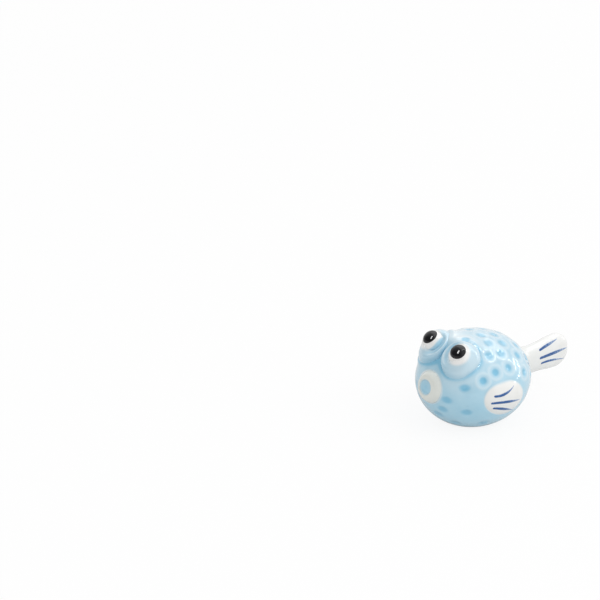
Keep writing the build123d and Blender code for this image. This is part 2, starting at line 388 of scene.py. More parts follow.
def feed(tree, node, values):
    """Give a node's sockets numbers, colours or the outputs of other nodes."""
    for socket, value in values.items():
        if isinstance(value, bpy.types.NodeSocket):
            tree.links.new(value, node.inputs[socket])
        else:
            node.inputs[socket].default_value = value


def outputs_of(tree, kind, values=None, **settings):
    """Add a node with its settings, feed its sockets and give its outputs."""
    node = tree.nodes.new(kind)
    for key, value in settings.items():
        setattr(node, key, value)
    feed(tree, node, values or {})
    return node.outputs


def ranged(tree, value, from_low, from_high, to_low, to_high):
    """A value moved from one range to another, and kept inside it."""
    measures = dict(enumerate((value, from_low, from_high, to_low, to_high)))
    return outputs_of(tree, "ShaderNodeMapRange", measures)["Result"]


def axes_of(tree, coordinates):
    """The X, Y and Z of one kind of texture coordinates."""
    place = outputs_of(tree, "ShaderNodeTexCoord")[coordinates]
    return outputs_of(tree, "ShaderNodeSeparateXYZ", {0: place})


def make_room():
    """A world that lights evenly, and shows the tent in the gloss."""
    world = bpy.data.worlds.new("room")
    world.use_nodes = True
    tree = world.node_tree
    toward = axes_of(tree, "Generated")
    overhead = ranged(tree, toward["Z"], 0, 1, ROOM_SIDE, ROOM_TOP)
    tent = ranged(tree, toward["Y"], TENT_FRONT, TENT_BACK, TENT_OPENING, TENT_WALL)
    glossy = outputs_of(tree, "ShaderNodeLightPath")["Is Glossy Ray"]
    strength = ranged(tree, glossy, 0, 1, overhead, tent)
    feed(tree, tree.nodes["Background"], {"Color": (1, 1, 1, 1), "Strength": strength})
    return world


scene.world = make_room()
print("World:", scene.world.name, "with", len(scene.world.node_tree.nodes), "nodes")

# %% [markdown]
# ## Floor
# The fish stands on white card. Real card would show grey in this soft light, so the floor shows white to
# the camera and keeps only a faint shadow. It throws back less light than it shows, which leaves the belly
# its shade, and it shows in the gloss only behind the fish.

# %% Floor
FLOOR_SIZE = 6
FLOOR_BOUNCE = (0.74, 0.74, 0.74, 1)
FLOOR_CARD = (0.95, 0.95, 0.95, 1)
FLOOR_WHITE = 0.9
FLOOR_GLOSS = 0.7
GLOSS_FROM = -0.05
GLOSS_FULL = 0.1


def make_white_floor():
    """White to the eye with a trace of shadow, and greyer in the light it throws back."""
    material = bpy.data.materials.new("white_floor")
    material.use_nodes = True
    tree = material.node_tree
    tree.nodes.clear()
    bounced = outputs_of(tree, "ShaderNodeBsdfDiffuse", {"Color": FLOOR_BOUNCE})[0]
    shadowed = outputs_of(tree, "ShaderNodeBsdfDiffuse", {"Color": FLOOR_CARD})[0]
    white = outputs_of(tree, "ShaderNodeEmission")[0]
    seen = outputs_of(tree, "ShaderNodeMixShader", {0: FLOOR_WHITE, 1: shadowed, 2: white})[0]
    behind = ranged(tree, axes_of(tree, "Object")["Y"], GLOSS_FROM, GLOSS_FULL, 0, FLOOR_GLOSS)
    ray = outputs_of(tree, "ShaderNodeLightPath")
    by_ray = {0: ray["Is Glossy Ray"], 1: behind, 2: ray["Is Camera Ray"]}
    share = outputs_of(tree, "ShaderNodeMath", by_ray, operation="MULTIPLY_ADD")[0]
    surface = outputs_of(tree, "ShaderNodeMixShader", {0: share, 1: bounced, 2: seen})[0]
    outputs_of(tree, "ShaderNodeOutputMaterial", {"Surface": surface})
    return material


floor = start_from("floor", bpy.ops.mesh.primitive_plane_add, size=FLOOR_SIZE)
floor.data.materials.append(make_white_floor())
print("Floor:", FLOOR_SIZE, "m square, in", floor.data.materials[0].name)

# %% [markdown]
# ## Glazes and enamels
# A glaze is glass, so it shows where it lies thick. It pools deep blue in hollows and creases, and runs
# thin and pale over ridges, and that pale also holds painted highlights and painted light from above. The
# blue is also painted paler at the top and more saturated below, as light from above. Each piece stores
# how much it pools or thins on its points, and one material turns that into colour. A faint cloudiness
# and a fine waviness keep the surface from looking like plastic.

# %% Colours
def tint(red, green, blue):
    """A linear colour from screen values of 0 to 255."""
    screen = np.array([red, green, blue]) / 255
    linear = np.where(screen <= 0.04045, screen / 12.92, ((screen + 0.055) / 1.055) ** 2.4)
    return (*linear, 1)


# Painted light: the blue is paler at the top, where light from above falls, and more saturated towards the
# foot
GLAZE_UPPER = tint(180, 216, 233)
GLAZE_LOWER_PAINTED_SHADE = tint(177, 224, 244)
GLAZE_POOLED = tint(118, 190, 222)
# Pale thin glaze, which also paints the highlight on rims and light from above on the forehead and turrets
GLAZE_THIN_AND_LIT = tint(228, 241, 247)
WHITE_GLAZE = tint(245, 245, 243)
WHITE_SHADE = tint(236, 236, 231)
# Painted shade: a darker, warmer white for the mouth's ring
WHITE_WARM_SHADE = tint(225, 229, 222)
BISCUIT = tint(226, 220, 208)
PUPIL_BLACK = tint(10, 11, 15)
PUPIL_BROWN = tint(24, 22, 21)
COBALT_DENSE = tint(26, 84, 150)
COBALT_WASH = tint(104, 152, 206)
print("Pale blue glaze, linear:", [round(float(value), 3) for value in GLAZE_UPPER[:3]])


# %% Material tools
def fresh_material(name):
    """A material, its tree of nodes and its shader."""
    material = bpy.data.materials.new(name)
    material.use_nodes = True
    tree = material.node_tree
    return material, tree, tree.nodes["Principled BSDF"]


def stored(tree, name):
    """The output of an attribute that a piece stores on its points."""
    return outputs_of(tree, "ShaderNodeAttribute", attribute_name=name)["Fac"]


def noise(tree, scale, detail=2.0):
    """A soft noise in object space."""
    place = outputs_of(tree, "ShaderNodeTexCoord")["Object"]
    return outputs_of(tree, "ShaderNodeTexNoise", {"Vector": place, "Scale": scale, "Detail": detail})["Fac"]


def mixed(tree, share, first, second):
    """A colour between two colours or outputs, by a share."""
    return outputs_of(tree, "ShaderNodeMix", {0: share, 6: first, 7: second}, data_type="RGBA")[2]


def added(tree, first, second):
    """Two values added and kept from 0 to 1."""
    return outputs_of(tree, "ShaderNodeMath", {0: first, 1: second}, operation="ADD", use_clamp=True)[0]


def wavy(tree, shader, scale, depth):
    """A fine unevenness of the surface, depth metres deep."""
    relief = {"Strength": 1.0, "Distance": depth, "Height": noise(tree, scale)}
    normal = outputs_of(tree, "ShaderNodeBump", relief)["Normal"]
    feed(tree, shader, {"Normal": normal, "Coat Normal": normal})


def finish(tree, shader, colour, roughness, coat, coat_roughness, ior=1.5):
    """A surface of one colour recipe and one gloss."""
    feed(tree, shader, {"Base Color": colour, "Roughness": roughness, "IOR": ior})
    feed(tree, shader, {"Coat Weight": coat, "Coat Roughness": coat_roughness})


# %% Blue glaze
GLAZE_ROUGHNESS = 0.16
BISCUIT_ROUGHNESS = 0.75
GLAZE_WAVE = 0.02 * MM
# Heights over which the painted light turns from the saturated lower blue to the paler top
PAINTED_LIGHT_RISE = (2 * MM, 24 * MM)
GLAZE_CLOUD = (0.35, 0.75, 0, 0.16)


def make_blue_glaze():
    """Pale blue glaze, painted paler on top as light: pooled, thin and lit, white or bare, per point."""
    material, tree, shader = fresh_material("blue_glaze")
    rise = ranged(tree, axes_of(tree, "Object")["Z"], *PAINTED_LIGHT_RISE, 0, 1)
    colour = mixed(tree, rise, GLAZE_LOWER_PAINTED_SHADE, GLAZE_UPPER)
    cloud = ranged(tree, noise(tree, scale=260, detail=3), *GLAZE_CLOUD)
    pooled = added(tree, stored(tree, "pool"), cloud)
    colour = mixed(tree, pooled, colour, GLAZE_POOLED)
    colour = mixed(tree, stored(tree, "thin"), colour, GLAZE_THIN_AND_LIT)
    colour = mixed(tree, stored(tree, "white"), colour, WHITE_GLAZE)
    bare = stored(tree, "bare")
    colour = mixed(tree, bare, colour, BISCUIT)
    roughness = ranged(tree, bare, 0, 1, GLAZE_ROUGHNESS, BISCUIT_ROUGHNESS)
    finish(tree, shader, colour, roughness, coat=1.0, coat_roughness=0.03)
    wavy(tree, shader, scale=420, depth=GLAZE_WAVE)
    return material


# %% White glaze
WHITE_CLOUD = (0.4, 0.8, 0, 0.6)


def make_white_glaze():
    """Warm white glaze that lets the blue of its neighbours run into its edge, with painted shade where
    stored.
    """
    material, tree, shader = fresh_material("white_glaze")
    cloud = ranged(tree, noise(tree, scale=220, detail=3), *WHITE_CLOUD)
    colour = mixed(tree, cloud, WHITE_GLAZE, WHITE_SHADE)
    colour = mixed(tree, stored(tree, "warm"), colour, WHITE_WARM_SHADE)
    colour = mixed(tree, stored(tree, "blue"), colour, GLAZE_UPPER)
    colour = mixed(tree, stored(tree, "pool"), colour, GLAZE_POOLED)
    finish(tree, shader, colour, roughness=0.18, coat=0.6, coat_roughness=0.05)
    wavy(tree, shader, scale=420, depth=GLAZE_WAVE)
    return material


# %% [markdown]
# Enamel is painted over the fired glaze. The pupils' black lies thick, with a faint brown cloud in it. The
# cobalt is brushed on, dense where the brush was set down and streaky towards the tip. An image could hold
# the strokes, but a noise and a share stored on the points stay sharp at any size.

# %% Black and cobalt enamel
PUPIL_WAVE = 0.008 * MM
COBALT_WAVE = 0.006 * MM
BROWN_CLOUD = (0.45, 0.75, 0, 1)
BRUSH_STREAKS = (0.3, 0.7, -0.14, 0.14)
DENSE_INK = (0.45, 0.95, 0, 1)


def make_black_enamel():
    """Thick black enamel with a faint brown cloud in it."""
    material, tree, shader = fresh_material("black_enamel")
    cloud = ranged(tree, noise(tree, scale=700), *BROWN_CLOUD)
    colour = mixed(tree, cloud, PUPIL_BLACK, PUPIL_BROWN)
    finish(tree, shader, colour, roughness=0.06, coat=0.0, coat_roughness=0.03, ior=1.45)
    wavy(tree, shader, scale=900, depth=PUPIL_WAVE)
    return material


def make_cobalt_enamel():
    """Brushed cobalt: dense where the brush was set down, a streaky wash towards the tip."""
    material, tree, shader = fresh_material("cobalt_enamel")
    streak = ranged(tree, noise(tree, scale=1500), *BRUSH_STREAKS)
    density = added(tree, stored(tree, "ink"), streak)
    colour = mixed(tree, density, WHITE_GLAZE, COBALT_WASH)
    dense = ranged(tree, density, *DENSE_INK)
    colour = mixed(tree, dense, colour, COBALT_DENSE)
    finish(tree, shader, colour, roughness=0.2, coat=0.5, coat_roughness=0.06)
    wavy(tree, shader, scale=900, depth=COBALT_WAVE)
    return material


finishes = {
    "blue_glaze": make_blue_glaze(),
    "white_glaze": make_white_glaze(),
    "black_enamel": make_black_enamel(),
    "cobalt_enamel": make_cobalt_enamel(),
}
print("Finishes:", list(finishes))

# %% [markdown]
# ## Places on the egg
# The dimples, eyes, mouth and fins sit at the CAD model's places, some of the dimples moved a little. They
# are given here by their angles, because the body's relief, the creases and the colour of the glaze all
# depend on where they are.

# %% Dimples
BACK_SPOTS = [
    (35, -9), (37, 5), (55, -11), (55, 5), (60, -26), (9.5, 16.5), (25, 15.5),
    (45, 25), (68, 25), (30, 36), (13, 46), (52, 44), (80, 44),
]
BELLY_SPOTS = [
    (62, -45), (87, -66), (108, -44), (126, -67), (128, -21), (146, -44), (158, -63),
    (122, 14), (104, 38), (132, 46), (105, 58), (160, 57),
]
RIDGE_SPOTS = [(10, -18.5), (-24, 0), (-11, 1), (7.5, 1), (20.5, 0), (0, 32)]


def both_sides(places):
    """The same places on the left and on the right."""
    return places + [(-around, along) for around, along in places]


back_spots = [skin_point(*place) for place in both_sides(BACK_SPOTS) + RIDGE_SPOTS]
belly_spots = [skin_point(*place) for place in both_sides(BELLY_SPOTS)]
print(len(back_spots), "dimples on the back and", len(belly_spots), "on the belly")

# %% [markdown]
# An eye has its own axis, which leans forward and outwards. The clay round it isn't even: it stands high at
# the forehead and runs low at the cheek. So its measures are lists of a heading round the axis and a value
# in mm, and one helper reads them with a little blur, as a wet sponge would leave them.

# %% The eye's axis and surroundings
EYE_PLACE = (23.2, -33.7)
EYE_LIFT = 1.8 * MM
EYE_FLOOR = -9 * MM
MIDLINE = 0.8 * MM
HEADING_BLUR = (-24, -12, 0, 12, 24)
eye_axis = Vector((0.19, -0.555, 0.81)).normalized()
eye_seat = Vector(skin_point(*EYE_PLACE)) + eye_axis * EYE_LIFT
eye_out = (Vector((1, 0, 0)) - eye_axis * eye_axis.x).normalized()
eye_rear = eye_axis.cross(eye_out)
eye_frame = Matrix((eye_out, eye_rear, eye_axis)).transposed().to_4x4()
eye_frame.translation = eye_seat

# Headings: 0 is outwards, 90 to the rear, 180 towards the other eye and -90 to the front
TURRET_EDGE = [
    (-175, 6.0), (-140, 6.5), (-115, 6.6), (-90, 6.9), (-70, 7.2), (-40, 6.2),
    (-10, 5.7), (15, 5.7), (40, 6.0), (65, 6.2), (100, 6.2), (140, 6.1),
]
SKIRT_HEIGHT = [
    (-175, 1.0), (-150, 0.5), (-120, 0.5), (-75, 1.5), (-30, 1.4), (0, 1.3),
    (30, 0.5), (55, 0.9), (80, 1.9), (100, 2.5), (140, 3.0), (165, 2.9),
]
SKIRT_REACH = [
    (-175, 0.8), (-130, 0.7), (-75, 2.2), (-30, 1.3), (0, 1.0),
    (30, 1.0), (60, 1.4), (100, 3.0), (140, 4.6), (165, 4.2),
]
CREASE_BLUE = [
    (-180, 0.7), (-150, 0.65), (-110, 0.85), (-85, 0.55), (-60, 0.1), (-35, 0.5),
    (-5, 0.6), (20, 0.45), (55, 0.65), (75, 0.6), (95, 0.35), (120, 0.1), (150, 0.1),
]


def eye_polar(points):
    """Radius and heading round the nearer eye's axis, and height along it."""
    folded = np.column_stack([np.hypot(points[:, 0], MIDLINE), points[:, 1:]])
    local = (folded - np.array(eye_seat)) @ np.array(eye_frame.to_3x3())
    return np.hypot(local[:, 0], local[:, 1]), np.arctan2(local[:, 1], local[:, 0]), local[:, 2]


def by_heading(heading, marks):
    """A value that changes smoothly round the eye's axis, through marks of (degrees, value)."""
    degrees, values = zip(*marks)
    turned = np.degrees(heading)
    nearby = [np.interp(turned + turn, degrees, values, period=360) for turn in HEADING_BLUR]
    return sum(nearby) / len(nearby)


def turret_edge(heading):
    """Radius where the turret's wall meets the body."""
    return by_heading(heading, TURRET_EDGE) * MM


print("Eye seat in mm:", [round(value / MM, 2) for value in eye_seat])

# %% [markdown]
# The mouth's axis is the skin's own direction at the snout. A fin is part of a flattened ball that stands
# out of the flank, so its half axes are worked out from where its edge runs out on the skin. The blue glaze
# laps over the upper front of its white, and the white runs a little past its lower front.

# %% Mouth and fin places
MOUTH_PLACE = (0, -80.7)
SIDEWAYS = Vector((1, 0, 0))
mouth_place = Vector(skin_point(*MOUTH_PLACE))
mouth_axis = Vector(skin_normal(np.array(mouth_place)))
mouth_frame = Matrix((SIDEWAYS, mouth_axis.cross(SIDEWAYS), mouth_axis)).transposed().to_4x4()
mouth_frame.translation = mouth_place

FIN_LENGTH = 15.5 * MM
FIN_HEIGHT = 11.4 * MM
FIN_TILT = radians(11.3)
FIN_FORWARD = 0.65 * MM
FIN_RELIEF = 0.6 * MM
FIN_ROOT = 5.0 * MM
FIN_FADE = 0.13 * MM
FIN_OVERLAP = 0.3 * MM
FIN_RUNOUT = 0.08 * MM
UPPER_FRONT = (-0.57, 0.82)
LOWER_FRONT = (-0.8, -0.6)
fin_base = HALF[0] - FIN_ROOT
fin_crown = FIN_ROOT + FIN_RELIEF


def fin_span(half, turn):
    """Half axis of the fin's dome, so that its edge runs out on the skin at half its length or height."""
    along = half * cos(turn) / HALF[1]
    up = half * sin(turn) / HALF[2]
    edge = HALF[0] * sqrt(1 - along**2 - up**2) - fin_base
    return half / sqrt(1 - (edge / fin_crown) ** 2)


fin_half = np.array([
    fin_crown,
    fin_span(FIN_LENGTH / 2, FIN_TILT),
    fin_span(FIN_HEIGHT / 2, pi / 2 - FIN_TILT),
])
fin_centre = np.array([fin_base, -FIN_FORWARD, CENTRE[2]])
fin_turn = np.array(Matrix.Rotation(-FIN_TILT, 3, "X"))
print("Fin dome half axes in mm:", np.round(fin_half / MM, 2))


# %% Fin tools
def fin_share(points):
    """1 at the middle of the left fin's dome in side view, and 0 beyond its outline."""
    flat = (points - fin_centre) @ fin_turn
    return np.clip(1 - (flat[:, 1] / fin_half[1]) ** 2 - (flat[:, 2] / fin_half[2]) ** 2, 0, 1)


def fin_surface(points):
    """Points in side view moved out to the left fin's dome."""
    dome = fin_base + fin_crown * np.sqrt(fin_share(points))
    return np.column_stack([dome, points[:, 1], points[:, 2]])


def fin_side(points, direction):
    """1 where a point lies in a direction along and up from the fin's centre, and 0 across it and behind."""
    off = (points - fin_centre)[:, 1:]
    far = np.maximum(np.linalg.norm(off, axis=1), TINY)
    return np.clip(off @ np.array(direction) / far, 0, 1)


def fin_fade(points):
    """1 on the left fin's white, 0 beyond it, with a soft edge near where its dome sinks under the skin."""
    side = ((points - CENTRE) / HALF)[:, 1:]
    skin = HALF[0] * np.sqrt(np.clip(1 - (side**2).sum(axis=1), 0, 1))
    rise = fin_surface(points)[:, 0] - skin
    rise -= FIN_OVERLAP * fin_side(points, UPPER_FRONT) ** 3
    rise += FIN_RUNOUT * fin_side(points, LOWER_FRONT) ** 2
    near = (points[:, 0] > fin_base / 2) & (fin_share(points) > 0)
    return np.where(near, smooth_step(rise, -FIN_FADE, FIN_FADE), 0)


# %% [markdown]
# ## Body
# The body is an icosphere, because its faces are equal everywhere and it has no poles to pinch a highlight.
# It is stretched to the egg, and then the relief goes on: a hollow with a raised rim at each dimple of the
# back, a faint hollow at each spot of the belly, and a skirt of clay round each eye, which at the rear is
# the forehead. A sculpting brush would do the same by hand.

# %% Body relief
BODY_DETAIL = 7
SPOT_CORE = 1.15 * MM
SPOT_DEPTH = 0.3 * MM
SPOT_RIM = 2.3 * MM
SPOT_RIM_WIDTH = 0.6 * MM
SPOT_RIM_HEIGHT = 0.05 * MM
BELLY_CORE = 1.5 * MM
BELLY_DEPTH = 0.2 * MM
SKIRT_INNER = (-3.5 * MM, -1.0 * MM)
FOOT_ROUNDING = 0.6 * MM


def body_relief(points):
    """How far the glazed skin stands above or below the plain egg."""
    lift = np.zeros(len(points))
    for spot in back_spots:
        far = np.linalg.norm(points - spot, axis=1)
        lift += SPOT_RIM_HEIGHT * bump(far - SPOT_RIM, SPOT_RIM_WIDTH) - SPOT_DEPTH * bump(far, SPOT_CORE)
    for spot in belly_spots:
        lift -= BELLY_DEPTH * bump(np.linalg.norm(points - spot, axis=1), BELLY_CORE)
    radius, heading, height = eye_polar(points)
    out = radius - turret_edge(heading)
    fall = np.exp(-np.maximum(out, 0) / (by_heading(heading, SKIRT_REACH) * MM))
    skirt = by_heading(heading, SKIRT_HEIGHT) * MM * fall * smooth_step(out, *SKIRT_INNER)
    return lift + np.where(height > EYE_FLOOR, skirt, 0)


body = start_from("glazed_body", bpy.ops.mesh.primitive_ico_sphere_add, subdivisions=BODY_DETAIL, radius=1)
bpy.ops.object.mode_set(mode="EDIT")
bpy.ops.transform.resize(value=tuple(HALF))
bpy.ops.transform.translate(value=tuple(CENTRE))
bpy.ops.object.mode_set(mode="OBJECT")
skin = points_of(body)
skin = skin + skin_normal(skin) * body_relief(skin)[:, None]
skin[:, 2] = soft_max(skin[:, 2], 0, FOOT_ROUNDING)
move_points(body, skin)
print("Body height in mm:", round(skin[:, 2].max() / MM, 2))

# %% [markdown]
# The fish is cast hollow. A smaller egg and a short pin for the firing vent are cut out of it with a
# Boolean modifier, as a caster pours the slip out and pierces the foot.

# %% Hollow and vent
HOLLOW_DETAIL = 5
WALL = 3.0 * MM
VENT = 1.8 * MM
VENT_SETBACK = 4.5 * MM
VENT_SIDES = 48


def cut(piece, tool):
    """Take a tool's shape out of a piece and throw the tool away."""
    activate(piece)
    modifier = piece.modifiers.new("cut", "BOOLEAN")
    modifier.operation = "DIFFERENCE"
    modifier.solver = "EXACT"
    modifier.object = tool
    bpy.ops.object.modifier_apply(modifier=modifier.name)
    bpy.data.objects.remove(tool)


hollow = start_from("hollow", bpy.ops.mesh.primitive_ico_sphere_add, subdivisions=HOLLOW_DETAIL, radius=1)
inner = CENTRE + points_of(hollow) * (HALF - WALL)
inner[:, 2] = soft_max(inner[:, 2], WALL, FOOT_ROUNDING)
move_points(hollow, inner)
cut(body, hollow)
pin = {"vertices": VENT_SIDES, "radius": VENT, "depth": 3 * WALL}
cut(body, start_from("pin", bpy.ops.mesh.primitive_cylinder_add, (0, VENT_SETBACK, 0), **pin))
print("Hollow body:", len(body.data.polygons), "faces")

# %% [markdown]
# The glaze's thickness is stored last, on the finished mesh. It pools in the dimples' hearts and in the
# creases round the eyes, thins on the rims and the forehead, turns white beside the fins and the mouth, and
# is wiped off the foot. The pale rims also carry a painted highlight, and the pale forehead painted light
# from above. A texture painter would brush these in by hand; formulas keep them on the relief when a size
# changes.

# %% Glaze in the dimples
SPOT_HEART = 1.1 * MM
SPOT_BLEED = 0.45 * MM
SPOT_POOL = 0.85
# Painted highlight: the pale ring on each dimple's rim is thin glaze with its highlight painted in
SPOT_RIM_THIN_AND_HIGHLIGHT = 0.45
TOP_SPAN = (0.55, 0.9)
TOP_PALER = 0.2
TOP_STRETCH = np.array([0.15, 0.25, 0])
FOLLOW_SKIN = 0.9
BELLY_STRETCH = np.array([0.8, 0.8, 1.2])
BELLY_BLEED = (0.6 * MM, 2.0 * MM)
BELLY_POOL = 0.75


def dimple_glaze(points):
    """Shares of pooled glaze in the dimples, and of thin glaze with a painted highlight on their rims."""
    pool = np.zeros(len(points))
    thin = np.zeros(len(points))
    for spot in back_spots:
        off = points - spot
        normal = skin_normal(spot)
        off = off - normal * (FOLLOW_SKIN * off @ normal)[:, None]
        top = smooth_step((spot[2] - CENTRE[2]) / HALF[2], *TOP_SPAN)
        heart = np.linalg.norm(off * (1 - top * TOP_STRETCH), axis=1)
        filled = 1 - smooth_step(heart, SPOT_HEART - SPOT_BLEED, SPOT_HEART + SPOT_BLEED)
        pool = np.maximum(pool, (SPOT_POOL - TOP_PALER * top) * filled)
        far = np.linalg.norm(off, axis=1)
        thin = np.maximum(thin, SPOT_RIM_THIN_AND_HIGHLIGHT * bump(far - SPOT_RIM, SPOT_RIM_WIDTH))
    for spot in belly_spots:
        far = np.linalg.norm((points - spot) * BELLY_STRETCH, axis=1)
        pool = np.maximum(pool, BELLY_POOL * (1 - smooth_step(far, *BELLY_BLEED)))
    return pool, thin


# %% Body glaze
CREASE_START = 0.3 * MM
CREASE_WIDTH = 0.45 * MM
FOREHEAD_FULL = 2
FOREHEAD_REACH = 3 * MM
# Painted light: the raised forehead is painted pale, for thin glaze and for the light from above on it
FOREHEAD_THIN_AND_LIT = 0.6
LIP_BLEED = (4.7 * MM, 5.8 * MM)
GLAZED_DEPTH = 1.2 * MM
FOOT_WIPE = (0.1 * MM, 0.3 * MM)


def body_glaze(piece):
    """Pooled, thin and lit, white and bare glaze on the body, with painted light on the forehead."""
    points = points_of(piece)
    pool, thin = dimple_glaze(points)
    radius, heading, height = eye_polar(points)
    by_eye = height > EYE_FLOOR
    out = radius - turret_edge(heading)
    crease = by_heading(heading, CREASE_BLUE) * bump(np.maximum(out - CREASE_START, 0), CREASE_WIDTH)
    pool = np.maximum(pool, np.where(by_eye, crease, 0))
    raised = (by_heading(heading, SKIRT_HEIGHT) / FOREHEAD_FULL) ** 2
    forehead = np.where(by_eye, raised * bump(np.maximum(out, 0), FOREHEAD_REACH), 0)
    thin = np.maximum(thin, FOREHEAD_THIN_AND_LIT * forehead * (1 - pool) ** 3)
    from_mouth = np.linalg.norm(points - np.array(mouth_place), axis=1)
    folded = np.column_stack([np.abs(points[:, 0]), points[:, 1:]])
    white = np.maximum(1 - smooth_step(from_mouth, *LIP_BLEED), fin_fade(folded))
    inside = skin_height(points) < -GLAZED_DEPTH
    bare = np.where(inside, 1, 1 - smooth_step(points[:, 2], *FOOT_WIPE))
    paint(piece, pool=pool, thin=thin, white=white, bare=bare)


body_glaze(body)
dress(body, "body_shell", "blue_glaze", sharp=40)

# %% [markdown]
# ## Eyes
# Each eye is a clay turret, a ball and a pupil. The turret is turned on a lathe with Spin. On its outer
# side the turret runs straight out of the ball, and on its inner side a groove parts them, so two profiles
# are drawn and mixed by the angle round the eye's axis. The body's skirt of clay already rises to meet its
# wall.

# %% Turret profiles
TURRET_SMOOTH = [
    (0, -0.6), (2.4, 0.3), (2.6, 2.1), (2.76, 2.47), (3.02, 2.2), (3.4, 1.78),
    (3.85, 1.3), (4.25, 0.88), (4.65, 0.4), (5.02, -0.15), (5.35, -0.75), (5.62, -1.4),
    (5.83, -2.15), (5.95, -3.0), (6.0, -4.0), (6.0, -5.4), (3.0, -5.6), (0, -5.6),
]
TURRET_GROOVED = [
    (0, -0.6), (2.4, -0.3), (3.2, 0.2), (3.65, 0.4), (4.0, 0.34), (4.35, 0.34),
    (4.7, 0.43), (5.0, 0.5), (5.22, 0.44), (5.42, 0.2), (5.58, -0.3), (5.7, -0.95),
    (5.82, -1.8), (5.93, -2.8), (6.0, -4.2), (6.0, -5.4), (3.0, -5.6), (0, -5.6),
]
TURRET_STATIONS = 97
TURRET_STEPS = 128
smooth_side = lathe_line(TURRET_SMOOTH, TURRET_STATIONS)
grooved_side = lathe_line(TURRET_GROOVED, TURRET_STATIONS)
turret = lathe("left_turret", grooved_side, TURRET_STEPS)
print("Turret:", len(turret.data.polygons), "faces from a line of", TURRET_STATIONS, "points")

# %% Turret shape
TURRET_BASE = 6.0 * MM
REAR_RISE = [(-60, 0.0), (20, 0.2), (60, 0.7), (95, 0.9), (125, 0.6), (150, 0.3), (180, 0.1)]
TURRET_FLARE = [(-120, 0.0), (-95, 0.6), (-70, 1.5), (-50, 1.0), (-25, 0.2), (0, 0.0), (180, 0.0)]
GROOVE_HEADING = radians(-170)
GROOVE_SPAN = (0.4, 0.97)
RISE_SPAN = (2.7 * MM, 4.0 * MM)
LEAN_SPAN = (3.4 * MM, 5.4 * MM)
LEAN_FROM = TURRET_STATIONS / 4
FLARE_SPAN = (4.4 * MM, 5.6 * MM)
FLARE_REACH = 0.9 * MM
SEAT_DEPTH = 0.9 * MM
RIDGE_GAP = 0.06 * MM
RIDGE_ROUNDING = 0.6 * MM


def along_line(line, place):
    """Radius and height at each place along a lathe's line."""
    index = np.arange(len(line))
    return np.column_stack([np.interp(place, index, line[:, k]) for k in (0, 1)])


def shape_turret(piece):
    """Mix the two profiles round the axis, spread to the body and keep to one side of the ridge."""
    turned = points_of(piece)
    heading = np.arctan2(turned[:, 1], turned[:, 0])
    place = stations_of(piece) * (TURRET_STATIONS - 1)
    groove = smooth_step(0.5 + 0.5 * np.cos(heading - GROOVE_HEADING), *GROOVE_SPAN)
    share = groove[:, None]
    smooth, grooved = along_line(smooth_side, place), along_line(grooved_side, place)
    radius, height = (smooth * (1 - share) + grooved * share).T
    height = height + by_heading(heading, REAR_RISE) * MM * smooth_step(radius, *RISE_SPAN)
    lean = (turret_edge(heading) - TURRET_BASE) * smooth_step(radius, *LEAN_SPAN)
    radius = radius + np.where(place > LEAN_FROM, lean, 0)
    outward = np.column_stack([np.cos(heading), np.sin(heading), np.zeros(len(heading))])
    local = outward * radius[:, None] + np.outer(height, [0, 0, 1])
    turn = np.array(eye_frame.to_3x3()).T
    placed = local @ turn + np.array(eye_seat)
    low = np.exp(-np.maximum(skin_height(placed), 0) / FLARE_REACH)
    flare = by_heading(heading, TURRET_FLARE) * MM * low * smooth_step(radius, *FLARE_SPAN)
    placed = seat(placed + outward @ turn * flare[:, None], SEAT_DEPTH)
    placed[:, 0] = soft_max(placed[:, 0], RIDGE_GAP, RIDGE_ROUNDING)
    move_points(piece, placed)
    return radius, height, heading, groove


turret_radius, turret_height, turret_heading, turret_groove = shape_turret(turret)
print("Turret top in mm:", round(points_of(turret)[:, 2].max() / MM, 2))

# %% Turret glaze
FOOT_BAND = [(-180, 0.6), (-150, 1.5), (-110, 2.1), (-85, 1.6), (-60, 0.6), (-40, 0.5), (140, 0.5)]
BALL_RUN = (3.3 * MM, 4.2 * MM)
GROOVE_RADIUS = 4.3 * MM
GROOVE_WIDTH = 0.45 * MM
GROOVE_POOL = 0.5
RIM_RADIUS = 5.1 * MM
RIM_WIDTH = 0.4 * MM
# Painted highlight: a pale band on the groove's outer rim, thin glaze with its highlight painted in
RIM_THIN_AND_HIGHLIGHT = 0.6
RIDGE_BLUE = 0.9 * MM
# Painted light: the whole turret is painted paler, thin glaze that also lifts the shade on its front
TURRET_THIN_AND_LIT = 0.4


def turret_glaze(piece):
    """White where the ball's glaze runs over the turret, blue in groove and foot, elsewhere pale as painted
    light.
    """
    placed = points_of(piece)
    white = (1 - turret_groove) * (1 - smooth_step(turret_radius, *BALL_RUN))
    groove = turret_groove * bump(turret_radius - GROOVE_RADIUS, GROOVE_WIDTH)
    ridge = bump(np.maximum(placed[:, 0], 0), RIDGE_BLUE)
    blue = by_heading(turret_heading, CREASE_BLUE)
    above = np.maximum(skin_height(placed) - by_heading(turret_heading, SKIRT_HEIGHT) * MM, 0)
    foot = blue * bump(above, by_heading(turret_heading, FOOT_BAND) * MM)
    pool = np.maximum(np.maximum(GROOVE_POOL * groove, foot), blue * ridge)
    rim = turret_groove * bump(turret_radius - RIM_RADIUS, RIM_WIDTH) * (turret_height > 0)
    thin = np.maximum(TURRET_THIN_AND_LIT * (1 - pool), RIM_THIN_AND_HIGHLIGHT * rim)
    paint(piece, pool=pool, thin=thin, white=white)


turret_glaze(turret)
print("Turret glaze:", [layer.name for layer in turret.data.attributes if layer.data_type == "FLOAT"])

# %% [markdown]
# The ball is a sphere sunk in its socket, cut flat below. White glaze covers it down to a shore, where the
# blue of the turret begins. The shore lies higher in front on the right eye, so each ball has its own.

